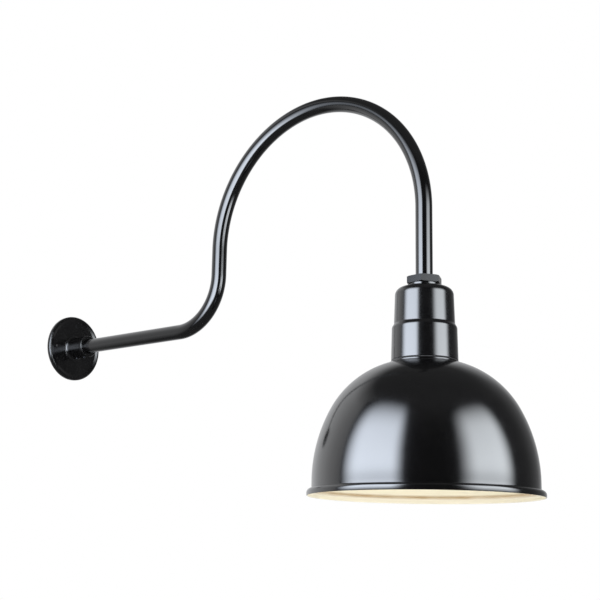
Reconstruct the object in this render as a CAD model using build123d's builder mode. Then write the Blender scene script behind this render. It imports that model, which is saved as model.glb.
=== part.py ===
from build123d import *
import os
from math import asin, atan2, cos, degrees, pi, radians, sin, sqrt, tan

# Gooseneck wall sconce, in millimetres. The origin is the centre of the wall plate's back, on the
# wall. +X runs out of the wall along the tube, +Z is up, and the shade hangs at x = reach.

# ---- tube ----
arm_r = 13.35
arm_wall = 2.0
arm_inset = 0.5
run_end_x = 300.0
bend_r = 94.0
riser_length = 46.0
arch_r = 220.0
arm_end_z = -14.0
turning_gap = 0.3

# ---- wall plate and what is on it ----
gasket_t = 1.5
gasket_inset = 1.5
gasket_step = 2.0
plate_r = 63.0
plate_face_t = 6.0
lip_height = 1.5
lip_width = 10.0
lip_round = 4.0
face_round = 1.5
pocket_r = 34.0
pocket_depth = 3.0
hub_r = 20.5
hub_length = 42.5
hub_foot_round = 5.0
bolt_spacing = 88.9
bolt_hole_r = 2.75
mark_ring_r = 44.0
mark_length = 5.0
mark_width = 1.6
mark_height = 0.7
upper_marks, upper_marks_start, upper_marks_angle = 7, 40, 56
lower_marks, lower_marks_start, lower_marks_angle = 6, 200, 50
set_screw_r = 3.0
set_screw_proud = 1.5
set_screw_edge = 12.0
set_screw_apart = 22.0
ground_screw_z = 27.0
blind_floor = 0.5

# ---- leads and bush ----
lead_r = 1.2
lead_apart = 2.8
lead_clearance = 0.4
lead_depth = 11.0
lead_hole_gap = 0.3
bush_wall = 1.75
bush_sleeve = 8.0
bush_flange = 2.3

# ---- nut ----
nut_corner_r = 28.5
nut_height = 11.0
nut_bevel = 1.8
nut_turn = -6.0
nut_seat_gap = 0.3

# ---- neck ----
neck_top_z = 9.5
collar_r = 24.0
collar_height = 6.0
collar_screw_r = 2.5
collar_screw_sunk = 0.5
upper_tier_height = 57.5
upper_tier_draft = 1.9
shoulder_round = 12.0
inner_shoulder_round = 8.0
step_width = 3.3
step_height = 5.5
step_round = 6.0
lower_tier_height = 51.5
lower_tier_draft = 1.1
neck_foot_r = 51.3
foot_round = 1.2
neck_wall = 3.3
neck_ceiling = 4.0
boss_r = 20.0
boss_drop = 15.0
post_r = 5.0
post_length = 43.5
post_spread = 66.0
lug_r = 5.5
lug_inset = 5.0
lug_height = 43.0
lug_count = 3

# ---- shade ----
sheet_t = 1.5
neck_gasket_t = 0.8
neck_gasket_inset = 0.6
seat_land = 9.0
seat_rim = 1.1
seat_height = 2.95
seat_round = 1.8
crown_step = 4.0
crown_centre_r = 15.6
side_swell = 10.2
side_arc_r = 229.5
wall_r = 170.4
wall_height = 11.5
flare_height = 10.5
flare_width = 7.4
flare_ledge = 1.2
crease_round = 0.6
ring_step = 2.0
ring_inset = 1.1
ring_t = 2.0

# ---- lamp holder ----
strap_t = 2.0
strap_lead_gap = 0.6
holder_r = 24.0
holder_taper = 3.0
holder_height = 54.0
holder_round = 3.0
holder_mouth_round = 1.5
holder_screw_spread = 26.0
shell_depth = 30.8
shell_t = 0.5
shell_gap = 0.3
shell_lip_depth = 1.0
contact_r = 5.5
contact_t = 0.8
contact_dome = 0.9
contact_rim = 1.0
contact_clearance = 1.5

# ---- lamp ----
globe_r = 30.0
globe_drop = 54.95
glass_t = 0.8
glass_gap = 0.1
glass_in_cap = 14.05
cone_angle = 38.0
cone_round = 18.0
cap_thread_r = 13.0
cap_shoulder = 2.0
thread_depth = 0.6
thread_pitch = 3.6
thread_turns = 5
cap_t = 0.4
cap_rim = 3.4
tip_r = 4.6
tip_t = 1.0
insulator_r = 8.6
insulator_t = 1.4
lamp_gap = 0.35
stem_r = 4.0
stem_length = 40.0
stem_flare = 2.0
filament_wire_r = 0.4
filament_width = 22.0
filament_post = 3.0
filament_drop = 13.0

# ---- small fasteners and edges ----
pan_head_r = 3.8
pan_head_h = 2.4
pan_head_taper = 12.0
pan_shank_r = 2.0
slot_width = 1.0
slot_depth = 1.0
screw_bite = 10.0
screw_hole_depth = 12.0
screw_clearance = 0.2
thread_gap = 0.05
screw_tip_gap = 0.1
hex_socket_share = 0.55
hex_depth_share = 0.4
fine_round = 0.5
soft_round = 3.0

# ---- places that follow from the sizes above ----
plate_back_x = gasket_t
plate_face_x = plate_back_x + plate_face_t
pocket_floor_x = plate_back_x + pocket_depth
hub_mouth_x = plate_face_x + hub_length
set_screw_x = hub_mouth_x - set_screw_edge
arm_start_x = pocket_floor_x + arm_inset
riser_x = run_end_x + bend_r
arch_foot_z = bend_r + riser_length
reach = riser_x + 2 * arch_r
arm_bore_r = arm_r - arm_wall
clear_bore_r = arm_r + turning_gap

bush_bore_r = arm_bore_r - bush_wall
bush_foot_z = arm_end_z - bush_flange
lead_y = lead_apart / 2
lead_drop = bush_bore_r - lead_r - lead_clearance

collar_top_z = neck_top_z + collar_height
collar_mid_z = neck_top_z + collar_height / 2
nut_foot_z = collar_top_z + nut_seat_gap
ceiling_z = neck_top_z - neck_ceiling
upper_foot_z = neck_top_z - upper_tier_height
lower_head_z = upper_foot_z - step_height
neck_foot_z = lower_head_z - lower_tier_height
lower_head_r = neck_foot_r - lower_tier_draft
upper_foot_r = lower_head_r - step_width
shoulder_r = upper_foot_r - upper_tier_draft
lug_ring_r = neck_foot_r - neck_wall - lug_inset
post_foot_z = ceiling_z - post_length

seat_z = neck_foot_z - neck_gasket_t
seat_r = neck_foot_r + seat_rim
seat_in_r = lug_ring_r - seat_land
ring_top_z = seat_z - sheet_t
ring_foot_z = ring_top_z - ring_t

strap_foot_z = post_foot_z - strap_t
strap_width = 2 * (lead_drop - lead_r - strap_lead_gap)
holder_foot_z = strap_foot_z - holder_height
shell_ceiling_z = holder_foot_z + shell_depth
shell_root_r = cap_thread_r + lamp_gap
shell_crest_r = shell_root_r + thread_depth
holder_bore_r = shell_crest_r + shell_t + shell_gap

tip_z = shell_ceiling_z - contact_t - contact_dome - lamp_gap
cap_top_z = tip_z - tip_t - insulator_t
cap_root_r = cap_thread_r - thread_depth
cap_in_r = cap_root_r - cap_t
thread_top_z = cap_top_z - cap_shoulder
thread_foot_z = thread_top_z - thread_turns * thread_pitch
cap_foot_z = thread_foot_z - cap_rim
globe_centre_z = cap_foot_z - globe_drop
glass_neck_r = cap_in_r - glass_gap
glass_neck_top_z = cap_foot_z + glass_in_cap
stem_flare_r = glass_neck_r - glass_t - glass_gap
stem_foot_z = glass_neck_top_z - stem_length

screw_tap_r = pan_shank_r + thread_gap
screw_clear_r = pan_shank_r + screw_clearance

head_plane = Plane(origin=(reach, 0, 0), x_dir=(1, 0, 0), z_dir=(0, -1, 0))
head_axis = Axis((reach, 0, 0), (0, 0, 1))
plate_plane = Plane(origin=(0, 0, 0), x_dir=(1, 0, 0), z_dir=(0, -1, 0))
plate_axis = Axis((0, 0, 0), (1, 0, 0))

os.makedirs("parts", exist_ok=True)


def save(builder, name):
    """Label one finished piece and write it as its own STEP file."""
    builder.part.label = name
    export_step(builder.part, f"parts/{name}.step")


def head_level(z):
    """The level plane at height z whose centre is on the shade's axis."""
    return Plane(origin=(reach, 0, z), x_dir=(1, 0, 0), z_dir=(0, 0, 1))


def head_level_down(z):
    """The same level plane, facing down."""
    return Plane(origin=(reach, 0, z), x_dir=(1, 0, 0), z_dir=(0, 0, -1))


def pair_spots(spread):
    """Two points that lie spread apart on the plane's second axis."""
    return [(0, -spread / 2), (0, spread / 2)]


def ring_spots(ring_r, count):
    """Evenly spaced points on a circle, the first on the plane's first axis."""
    angles = [2 * pi * turn / count for turn in range(count)]
    return [(ring_r * cos(angle), ring_r * sin(angle)) for angle in angles]


def add_pan_screws(seat, spots, shank_length):
    """Slotted pan-head screws. The seat plane lies under the heads and faces out of them."""
    with BuildSketch(seat) as shanks:
        with Locations(*spots):
            Circle(pan_shank_r)
    extrude(shanks.sketch, amount=-shank_length)
    with BuildSketch(seat) as heads:
        with Locations(*spots):
            Circle(pan_head_r)
    extrude(heads.sketch, amount=pan_head_h, taper=pan_head_taper)
    with BuildSketch(seat.offset(pan_head_h)) as slots:
        with Locations(*spots):
            Rectangle(2 * pan_head_r, slot_width)
    extrude(slots.sketch, amount=-slot_depth, mode=Mode.SUBTRACT)


def add_set_screws(tip, spots, radius, length):
    """Socket set screws. The tip plane lies at their points and faces out to their sockets."""
    with BuildSketch(tip) as shanks:
        with Locations(*spots):
            Circle(radius - thread_gap)
    extrude(shanks.sketch, amount=length)
    with BuildSketch(tip.offset(length)) as sockets:
        with Locations(*spots):
            RegularPolygon(radius * hex_socket_share, 6)
    extrude(sockets.sketch, amount=-length * hex_depth_share, mode=Mode.SUBTRACT)


def tube_route(side_offset, start_x, end_z):
    """Centre line of the tube, or of a lead that lies side_offset to the right of its travel."""
    near_x = riser_x + side_offset
    far_x = reach - side_offset
    Line((start_x, -side_offset), (run_end_x, -side_offset))
    JernArc((run_end_x, -side_offset), (1, 0), bend_r + side_offset, 90)
    Line((near_x, bend_r), (near_x, arch_foot_z))
    JernArc((near_x, arch_foot_z), (0, 1), arch_r - side_offset, -180)
    Line((far_x, arch_foot_z), (far_x, end_z))


def thread_wave(crest_r, top_z):
    """Rounded thread ridges in profile, each one arc from root to crest to root."""
    root_r = crest_r - thread_depth
    for turn in range(thread_turns):
        high_z = top_z - turn * thread_pitch
        low_z = high_z - thread_pitch
        ThreePointArc((root_r, high_z), (crest_r, (high_z + low_z) / 2), (root_r, low_z))


# ================= wall side =================

with BuildPart() as wall_gasket:
    with BuildSketch(Plane.YZ):
        Circle(plate_r - gasket_inset)
        Circle(pocket_r + gasket_step, mode=Mode.SUBTRACT)
        with GridLocations(bolt_spacing, 0, 2, 1):
            Circle(bolt_hole_r, mode=Mode.SUBTRACT)
    extrude(amount=gasket_t)
save(wall_gasket, "wall_gasket")

set_screw_spots = [(set_screw_x, 0), (set_screw_x - set_screw_apart, 0)]
plate_rounds = [0, fine_round, lip_round, face_round, face_round, hub_foot_round, face_round]
plate_rounds += [fine_round, fine_round, fine_round]

with BuildPart() as wall_plate:
    with BuildSketch(plate_plane):
        with BuildLine():
            FilletPolyline(
                (plate_back_x, pocket_r),
                (plate_back_x, plate_r),
                (plate_face_x + lip_height, plate_r),
                (plate_face_x + lip_height, plate_r - lip_width / 2),
                (plate_face_x, plate_r - lip_width),
                (plate_face_x, hub_r),
                (hub_mouth_x, hub_r),
                (hub_mouth_x, clear_bore_r),
                (pocket_floor_x, clear_bore_r),
                (pocket_floor_x, pocket_r),
                radius=plate_rounds,
                close=True,
            )
        make_face()
    revolve(axis=plate_axis)
    with BuildSketch(Plane.YZ.offset(plate_face_x)):
        with PolarLocations(mark_ring_r, upper_marks, upper_marks_start, upper_marks_angle):
            Rectangle(mark_length, mark_width)
        with PolarLocations(mark_ring_r, lower_marks, lower_marks_start, lower_marks_angle):
            Rectangle(mark_length, mark_width)
    extrude(amount=mark_height)
    with BuildSketch(Plane.YZ.offset(plate_back_x)):
        with GridLocations(bolt_spacing, 0, 2, 1):
            Circle(bolt_hole_r)
    extrude(amount=plate_face_t + lip_height, mode=Mode.SUBTRACT)
    with BuildSketch(Plane.XY.offset(-arm_r)):
        with Locations(*set_screw_spots):
            Circle(set_screw_r)
    extrude(amount=-hub_r, mode=Mode.SUBTRACT)
    with BuildSketch(Plane.YZ.offset(pocket_floor_x)):
        with Locations((0, ground_screw_z)):
            Circle(screw_tap_r)
    extrude(amount=plate_face_t - pocket_depth - blind_floor, mode=Mode.SUBTRACT)
save(wall_plate, "wall_plate")

with BuildPart() as hub_set_screws:
    add_set_screws(
        Plane(origin=(0, 0, -clear_bore_r), x_dir=(1, 0, 0), z_dir=(0, 0, -1)),
        set_screw_spots,
        set_screw_r,
        hub_r + set_screw_proud - clear_bore_r,
    )
save(hub_set_screws, "hub_set_screws")

with BuildPart() as ground_screw:
    add_pan_screws(
        Plane(origin=(pocket_floor_x, 0, ground_screw_z), x_dir=(0, 0, 1), z_dir=(-1, 0, 0)),
        [(0, 0)],
        plate_face_t - pocket_depth - blind_floor - screw_tip_gap,
    )
save(ground_screw, "ground_screw")

# ================= tube, its leads and its bush =================

with BuildPart() as gooseneck_arm:
    with BuildLine(Plane.XZ) as arm_route:
        tube_route(0, arm_start_x, arm_end_z)
    with BuildSketch(Plane.YZ.offset(arm_start_x)):
        Circle(arm_r)
        Circle(arm_bore_r, mode=Mode.SUBTRACT)
    sweep(path=arm_route.line)
save(gooseneck_arm, "gooseneck_arm")

for lead_name, lead_side in (("supply_lead_black", -1), ("supply_lead_white", 1)):
    with BuildPart() as supply_lead:
        with BuildLine(Plane.XZ.offset(-lead_side * lead_y)) as lead_route:
            tube_route(lead_drop, plate_back_x, bush_foot_z)
        with BuildSketch(Plane.YZ.offset(plate_back_x)):
            with Locations((lead_side * lead_y, -lead_drop)):
                Circle(lead_r)
        sweep(path=lead_route.line)
    save(supply_lead, lead_name)

with BuildPart() as end_bushing:
    with BuildSketch(head_level(arm_end_z)):
        Circle(arm_bore_r - thread_gap)
        Circle(bush_bore_r, mode=Mode.SUBTRACT)
    extrude(amount=bush_sleeve)
    with BuildSketch(head_level(arm_end_z)):
        Circle(arm_r)
        Circle(bush_bore_r, mode=Mode.SUBTRACT)
    extrude(amount=-bush_flange)
save(end_bushing, "end_bushing")

# ================= nut =================

with BuildPart() as lock_nut:
    with BuildSketch(head_level(nut_foot_z)):
        RegularPolygon(nut_corner_r, 6, rotation=nut_turn)
        Circle(clear_bore_r, mode=Mode.SUBTRACT)
    extrude(amount=nut_height)
    with BuildSketch(head_plane):
        Polygon(
            (0, nut_foot_z),
            (nut_corner_r - nut_bevel, nut_foot_z),
            (nut_corner_r, nut_foot_z + nut_bevel / 2),
            (nut_corner_r, nut_foot_z + nut_height - nut_bevel / 2),
            (nut_corner_r - nut_bevel, nut_foot_z + nut_height),
            (0, nut_foot_z + nut_height),
            align=None,
        )
    revolve(axis=head_axis, mode=Mode.INTERSECT)
save(lock_nut, "lock_nut")

# ================= neck =================

neck_outer_rounds = [fine_round, fine_round, face_round, shoulder_round, soft_round, step_round]
neck_foot_rounds = [foot_round, fine_round]
neck_inner_rounds = [soft_round, soft_round, inner_shoulder_round, face_round, fine_round, fine_round]

with BuildPart() as neck:
    with BuildSketch(head_plane):
        with BuildLine():
            FilletPolyline(
                (clear_bore_r, collar_top_z),
                (collar_r, collar_top_z),
                (collar_r, neck_top_z),
                (shoulder_r, neck_top_z),
                (upper_foot_r, upper_foot_z),
                (lower_head_r, lower_head_z),
                (neck_foot_r, neck_foot_z),
                (neck_foot_r - neck_wall, neck_foot_z),
                (lower_head_r - neck_wall, lower_head_z),
                (upper_foot_r - neck_wall, upper_foot_z),
                (shoulder_r - neck_wall, ceiling_z),
                (boss_r, ceiling_z),
                (boss_r, ceiling_z - boss_drop),
                (clear_bore_r, ceiling_z - boss_drop),
                radius=neck_outer_rounds + neck_foot_rounds + neck_inner_rounds,
                close=True,
            )
        make_face()
    revolve(axis=head_axis)
    with BuildSketch(head_level(neck_foot_z)):
        with PolarLocations(lug_ring_r, lug_count):
            Circle(lug_r)
    extrude(amount=lug_height)
    with BuildSketch(head_level(neck_foot_z)):
        with PolarLocations(lug_ring_r, lug_count):
            Circle(screw_tap_r)
    extrude(amount=screw_hole_depth, mode=Mode.SUBTRACT)
    with BuildSketch(head_level(post_foot_z)):
        with GridLocations(0, post_spread, 1, 2):
            Circle(post_r)
    extrude(amount=post_length + neck_ceiling / 2)
    with BuildSketch(head_level(post_foot_z)):
        with GridLocations(0, post_spread, 1, 2):
            Circle(screw_tap_r)
    extrude(amount=screw_hole_depth, mode=Mode.SUBTRACT)
    with BuildSketch(Plane(origin=(reach - arm_r, 0, collar_mid_z), z_dir=(-1, 0, 0))):
        Circle(collar_screw_r)
    extrude(amount=collar_r, mode=Mode.SUBTRACT)
save(neck, "neck")

with BuildPart() as neck_set_screw:
    add_set_screws(
        Plane(origin=(reach - clear_bore_r, 0, collar_mid_z), z_dir=(-1, 0, 0)),
        [(0, 0)],
        collar_screw_r,
        collar_r - clear_bore_r - collar_screw_sunk,
    )
save(neck_set_screw, "neck_set_screw")

with BuildPart() as neck_gasket:
    with BuildSketch(head_level(seat_z)):
        Circle(neck_foot_r - neck_gasket_inset)
        Circle(lug_ring_r - lug_r, mode=Mode.SUBTRACT)
        with PolarLocations(lug_ring_r, lug_count):
            Circle(screw_clear_r, mode=Mode.SUBTRACT)
    extrude(amount=neck_gasket_t)
save(neck_gasket, "neck_gasket")

# ================= shade =================
# The bowl's outside is two arcs tangent to each other, the side arc also tangent to the short
# upright wall. Its height follows from the seat down. The rim steps out and rolls over to its lip.

crown_arc_r = wall_r - side_swell - crown_centre_r
crown_start_r = seat_r + crown_step
crown_start_angle = 90 - degrees(asin((crown_start_r - crown_centre_r) / crown_arc_r))
crown_foot_z = seat_z - seat_height
crown_start_z = crown_foot_z - crown_step / tan(radians(crown_start_angle))
crown_centre_z = crown_start_z - crown_arc_r * sin(radians(crown_start_angle))
side_centre_r = wall_r - side_arc_r
centres_apart_r = crown_centre_r - side_centre_r
wall_top_z = crown_centre_z - sqrt((side_arc_r - crown_arc_r) ** 2 - centres_apart_r**2)
join_angle = degrees(atan2(crown_centre_z - wall_top_z, centres_apart_r))
flare_top_z = wall_top_z - wall_height
lip_z = flare_top_z - flare_height

with BuildPart() as shade:
    with BuildSketch(head_plane):
        with BuildLine():
            FilletPolyline(
                (seat_in_r, seat_z),
                (seat_r, seat_z),
                (seat_r, crown_foot_z),
                (crown_start_r, crown_start_z),
                radius=[seat_round, fine_round],
            )
            CenterArc(
                (crown_centre_r, crown_centre_z),
                crown_arc_r,
                crown_start_angle,
                join_angle - crown_start_angle,
            )
            CenterArc((side_centre_r, wall_top_z), side_arc_r, join_angle, -join_angle)
            FilletPolyline(
                (wall_r, wall_top_z),
                (wall_r, flare_top_z),
                (wall_r + flare_width, flare_top_z),
                (wall_r + flare_width, lip_z),
                radius=[crease_round, flare_width - flare_ledge],
            )
            offset(amount=sheet_t, side=Side.RIGHT)
        make_face()
    revolve(axis=head_axis)
    with BuildSketch(head_level(seat_z)):
        with PolarLocations(lug_ring_r, lug_count):
            Circle(screw_clear_r)
    extrude(amount=-sheet_t, mode=Mode.SUBTRACT)
save(shade, "shade")

with BuildPart() as shade_ring:
    with BuildSketch(head_level(ring_foot_z)):
        Circle(neck_foot_r - ring_inset)
        Circle(seat_in_r + ring_step, mode=Mode.SUBTRACT)
        with PolarLocations(lug_ring_r, lug_count):
            Circle(screw_clear_r, mode=Mode.SUBTRACT)
    extrude(amount=ring_t)
save(shade_ring, "shade_ring")

with BuildPart() as shade_screws:
    add_pan_screws(
        head_level_down(ring_foot_z),
        ring_spots(lug_ring_r, lug_count),
        ring_t + sheet_t + neck_gasket_t + screw_bite,
    )
save(shade_screws, "shade_screws")

# ================= lamp holder =================

with BuildPart() as socket_bracket:
    with BuildSketch(head_level(strap_foot_z)):
        SlotCenterToCenter(post_spread, strap_width, rotation=90)
        with GridLocations(0, post_spread, 1, 2):
            Circle(screw_clear_r, mode=Mode.SUBTRACT)
        with GridLocations(0, holder_screw_spread, 1, 2):
            Circle(screw_clear_r, mode=Mode.SUBTRACT)
    extrude(amount=strap_t)
save(socket_bracket, "socket_bracket")

with BuildPart() as bracket_screws:
    add_pan_screws(head_level_down(strap_foot_z), pair_spots(post_spread), strap_t + screw_bite)
save(bracket_screws, "bracket_screws")

with BuildPart() as socket_screws:
    add_pan_screws(head_level(post_foot_z), pair_spots(holder_screw_spread), strap_t + screw_bite)
save(socket_screws, "socket_screws")

with BuildPart() as socket_body:
    with BuildSketch(head_plane):
        with BuildLine():
            FilletPolyline(
                (0, strap_foot_z),
                (holder_r - holder_taper, strap_foot_z),
                (holder_r, shell_ceiling_z),
                (holder_r, holder_foot_z),
                (holder_bore_r, holder_foot_z),
                (holder_bore_r, shell_ceiling_z),
                (0, shell_ceiling_z),
                radius=[0, holder_round, holder_round, holder_mouth_round, fine_round, 0, 0],
                close=True,
            )
        make_face()
    revolve(axis=head_axis)
    with BuildSketch(head_level(strap_foot_z)):
        with GridLocations(0, holder_screw_spread, 1, 2):
            Circle(screw_tap_r)
        with Locations((-lead_drop, 0)):
            SlotCenterToCenter(lead_apart, 2 * (lead_r + lead_hole_gap), rotation=90)
    extrude(amount=-screw_hole_depth, mode=Mode.SUBTRACT)
save(socket_body, "socket_body")

with BuildPart() as screw_shell:
    with BuildSketch(head_plane):
        with BuildLine():
            Polyline(
                (shell_root_r, thread_top_z),
                (shell_root_r, shell_ceiling_z - shell_t),
                (contact_r + contact_clearance, shell_ceiling_z - shell_t),
                (contact_r + contact_clearance, shell_ceiling_z),
                (shell_crest_r + shell_t, shell_ceiling_z),
                (shell_crest_r + shell_t, holder_foot_z + shell_lip_depth),
                (shell_root_r, holder_foot_z + shell_lip_depth),
                (shell_root_r, thread_foot_z),
            )
            thread_wave(shell_crest_r, thread_top_z)
        make_face()
    revolve(axis=head_axis)
save(screw_shell, "screw_shell")

contact_foot_z = shell_ceiling_z - contact_t

with BuildPart() as centre_contact:
    with BuildSketch(head_plane):
        with BuildLine():
            dome_rim = Polyline(
                (0, contact_foot_z - contact_dome),
                (0, shell_ceiling_z),
                (contact_r, shell_ceiling_z),
                (contact_r, contact_foot_z),
                (contact_r - contact_rim, contact_foot_z),
            )
            TangentArc(dome_rim @ 0, dome_rim @ 1, tangent=(1, 0))
        make_face()
    revolve(axis=head_axis)
save(centre_contact, "centre_contact")

for lead_name, lead_side in (("socket_lead_black", -1), ("socket_lead_white", 1)):
    with BuildPart() as socket_lead:
        with BuildSketch(head_level(bush_foot_z - turning_gap)):
            with Locations((-lead_drop, lead_side * lead_y)):
                Circle(lead_r)
        extrude(amount=strap_foot_z - lead_depth - bush_foot_z + turning_gap)
    save(socket_lead, lead_name)

# ================= lamp =================

cone_start_r = globe_r * cos(radians(cone_angle))
cone_start_z = globe_centre_z + globe_r * sin(radians(cone_angle))
cone_top_z = cone_start_z + (cone_start_r - glass_neck_r) / tan(radians(cone_angle))

with BuildPart() as bulb_globe:
    with BuildSketch(head_plane):
        with BuildLine():
            CenterArc((0, globe_centre_z), globe_r, -90, 90 + cone_angle)
            FilletPolyline(
                (cone_start_r, cone_start_z),
                (glass_neck_r, cone_top_z),
                (glass_neck_r, glass_neck_top_z),
                radius=[cone_round],
            )
            offset(amount=glass_t, side=Side.LEFT)
        make_face()
    revolve(axis=head_axis)
save(bulb_globe, "bulb_globe")

with BuildPart() as bulb_stem:
    with BuildSketch(head_plane):
        with BuildLine():
            FilletPolyline(
                (0, glass_neck_top_z),
                (stem_flare_r, glass_neck_top_z),
                (stem_flare_r, glass_neck_top_z - stem_flare),
                (stem_r, glass_neck_top_z - stem_length / 3),
                (stem_r, stem_foot_z),
                (0, stem_foot_z),
                radius=[0, 0, fine_round, soft_round, face_round, 0],
                close=True,
            )
        make_face()
    revolve(axis=head_axis)
save(bulb_stem, "bulb_stem")

with BuildPart() as bulb_filament:
    with BuildLine(head_plane) as filament_route:
        FilletPolyline(
            (-stem_r / 2, stem_foot_z),
            (-stem_r / 2, stem_foot_z - filament_post),
            (-filament_width / 2, stem_foot_z - filament_drop),
            (filament_width / 2, stem_foot_z - filament_drop),
            (stem_r / 2, stem_foot_z - filament_post),
            (stem_r / 2, stem_foot_z),
            radius=3 * filament_wire_r,
        )
    with BuildSketch(head_level(stem_foot_z)):
        with Locations((-stem_r / 2, 0)):
            Circle(filament_wire_r)
    sweep(path=filament_route.line)
save(bulb_filament, "bulb_filament")

with BuildPart() as bulb_cap:
    with BuildSketch(head_plane):
        with BuildLine():
            Polyline(
                (cap_root_r, thread_top_z),
                (insulator_r, cap_top_z),
                (insulator_r, cap_top_z - cap_t),
                (cap_in_r, thread_top_z - cap_t),
                (cap_in_r, cap_foot_z),
                (cap_root_r, cap_foot_z),
                (cap_root_r, thread_foot_z),
            )
            thread_wave(cap_thread_r, thread_top_z)
        make_face()
    revolve(axis=head_axis)
save(bulb_cap, "bulb_cap")

with BuildPart() as bulb_insulator:
    with BuildSketch(head_plane):
        Polygon(
            (0, cap_top_z - cap_t),
            (insulator_r, cap_top_z - cap_t),
            (insulator_r, cap_top_z),
            (tip_r, cap_top_z + insulator_t),
            (0, cap_top_z + insulator_t),
            align=None,
        )
    revolve(axis=head_axis)
save(bulb_insulator, "bulb_insulator")

with BuildPart() as bulb_contact:
    with BuildSketch(head_plane):
        with BuildLine():
            Polyline(
                (0, tip_z), (0, tip_z - tip_t), (tip_r, tip_z - tip_t), (tip_r, tip_z - tip_t / 2)
            )
            TangentArc((0, tip_z), (tip_r, tip_z - tip_t / 2), tangent=(1, 0))
        make_face()
    revolve(axis=head_axis)
save(bulb_contact, "bulb_contact")
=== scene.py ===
import math

import bmesh
import bpy
import numpy as np
from bpy.props import FloatProperty, FloatVectorProperty, PointerProperty
from mathutils import Matrix, Vector


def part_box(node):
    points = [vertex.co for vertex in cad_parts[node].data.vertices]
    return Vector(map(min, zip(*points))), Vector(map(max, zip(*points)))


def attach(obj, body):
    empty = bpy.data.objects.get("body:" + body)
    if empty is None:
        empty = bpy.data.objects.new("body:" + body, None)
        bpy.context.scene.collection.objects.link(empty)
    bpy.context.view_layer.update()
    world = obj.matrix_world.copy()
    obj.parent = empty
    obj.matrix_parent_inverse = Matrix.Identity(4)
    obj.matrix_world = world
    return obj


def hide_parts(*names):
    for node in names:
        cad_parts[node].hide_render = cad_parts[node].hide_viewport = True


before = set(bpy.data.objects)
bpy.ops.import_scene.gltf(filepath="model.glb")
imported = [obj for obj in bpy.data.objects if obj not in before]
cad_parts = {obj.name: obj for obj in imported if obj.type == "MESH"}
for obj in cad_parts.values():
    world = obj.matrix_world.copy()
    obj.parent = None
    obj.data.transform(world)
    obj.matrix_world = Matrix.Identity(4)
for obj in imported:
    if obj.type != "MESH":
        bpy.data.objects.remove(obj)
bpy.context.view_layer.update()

bl_info = {
    "name": "Gooseneck Wall Sconce",
    "version": (1, 0, 0),
    "blender": (4, 5, 0),
    "location": "View3D > Sidebar > Sconce",
    "description": "Builds the finished pieces of a gooseneck wall light around its solid frame",
    "category": "Add Mesh",
}

ARM_LOW, ARM_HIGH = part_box("gooseneck_arm")
SHADE_LOW, SHADE_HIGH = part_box("shade")
CAP_LOW, CAP_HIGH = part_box("bulb_cap")
SHELL_LOW, SHELL_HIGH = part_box("screw_shell")
REACH = (SHADE_LOW.x + SHADE_HIGH.x) / 2

# Sides round each turned or carried surface, the longest run along one, and the sharpest bend
# that still shades smooth.
TUBE_SIDES, SHADE_SIDES, THREAD_SIDES, POST_SIDES, WIRE_SIDES = 72, 192, 144, 14, 6
LONGEST_RUN = 0.006
SMOOTH_ANGLE = math.radians(32.0)


class Step:
    """What every step's operator has."""

    bl_options = {"REGISTER", "UNDO"}


# ---- sizes and colours


def length(name, words, default):
    """A size in metres that a user may change."""
    return FloatProperty(name=name, description=words, default=default, unit="LENGTH", precision=5)


def paint(name, words, default):
    """A colour that a user may change."""
    return FloatVectorProperty(
        name=name, description=words, default=default, subtype="COLOR", size=3, min=0.0, max=1.0
    )


def dial(name, words, default, **kind):
    """A level or power of the studio that a user may change."""
    return FloatProperty(name=name, description=words, default=default, **kind)


class SconceSizes(bpy.types.PropertyGroup):
    """Sizes of the pieces that this file shapes."""

    arm_r: length("Arm radius", "Outer radius of the bent tube", (ARM_HIGH.y - ARM_LOW.y) / 2)
    arm_wall: length("Arm wall", "Wall of the bent tube", 0.002)
    run_end: length("Run end", "Distance from the wall to the first bend", 0.300)
    bend_r: length("Bend radius", "Centre line radius of the bend that turns up", 0.094)
    riser: length("Riser", "Straight tube between the bend and the arch", 0.046)
    arch_r: length("Arch radius", "Centre line radius of the half circle arch", 0.220)
    arm_end_z: length("Arm end", "Height of the tube's lower end", ARM_LOW.z)
    sheet: length("Shade sheet", "Thickness of the spun shade", 0.0015)
    seat_in_r: length("Seat hole", "Radius of the hole in the shade's seat", 0.034)
    seat_r: length("Seat radius", "Radius of the raised seat under the neck", 0.0524)
    seat_height: length("Seat height", "Height of the raised seat", 0.00295)
    seat_round: length("Seat round", "Round over the seat's edge", 0.0018)
    crown_step: length("Crown step", "Level band between the seat and the crown", 0.004)
    crown_r: length("Crown radius", "Radius of the arc that shapes the crown", 0.1446)
    crown_centre: length("Crown centre", "Distance of that arc's centre from the axis", 0.0156)
    side_arc_r: length("Side radius", "Radius of the arc that shapes the side", 0.2295)
    wall_r: length("Wall radius", "Outer radius of the upright wall", 0.1704)
    wall_height: length("Wall height", "Height of the upright wall", 0.0115)
    flare_height: length("Flare height", "Height of the rolled lip", 0.0105)
    flare_width: length("Flare width", "How far the rolled lip stands out", 0.0074)
    flare_ledge: length("Flare ledge", "Level part of the lip before it rolls over", 0.0012)
    crease_round: length("Crease round", "Round in the crease above the lip", 0.0006)
    thread_depth: length("Thread depth", "Depth of the rolled lamp thread", 0.0006)
    thread_pitch: length("Thread pitch", "Rise of the lamp thread in one turn", 0.0036)
    coil_r: length("Coil radius", "Radius of the lamp's wire coil", 0.0008)
    coil_wire: length("Coil wire", "Radius of the coiled wire", 0.00014)


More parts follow.
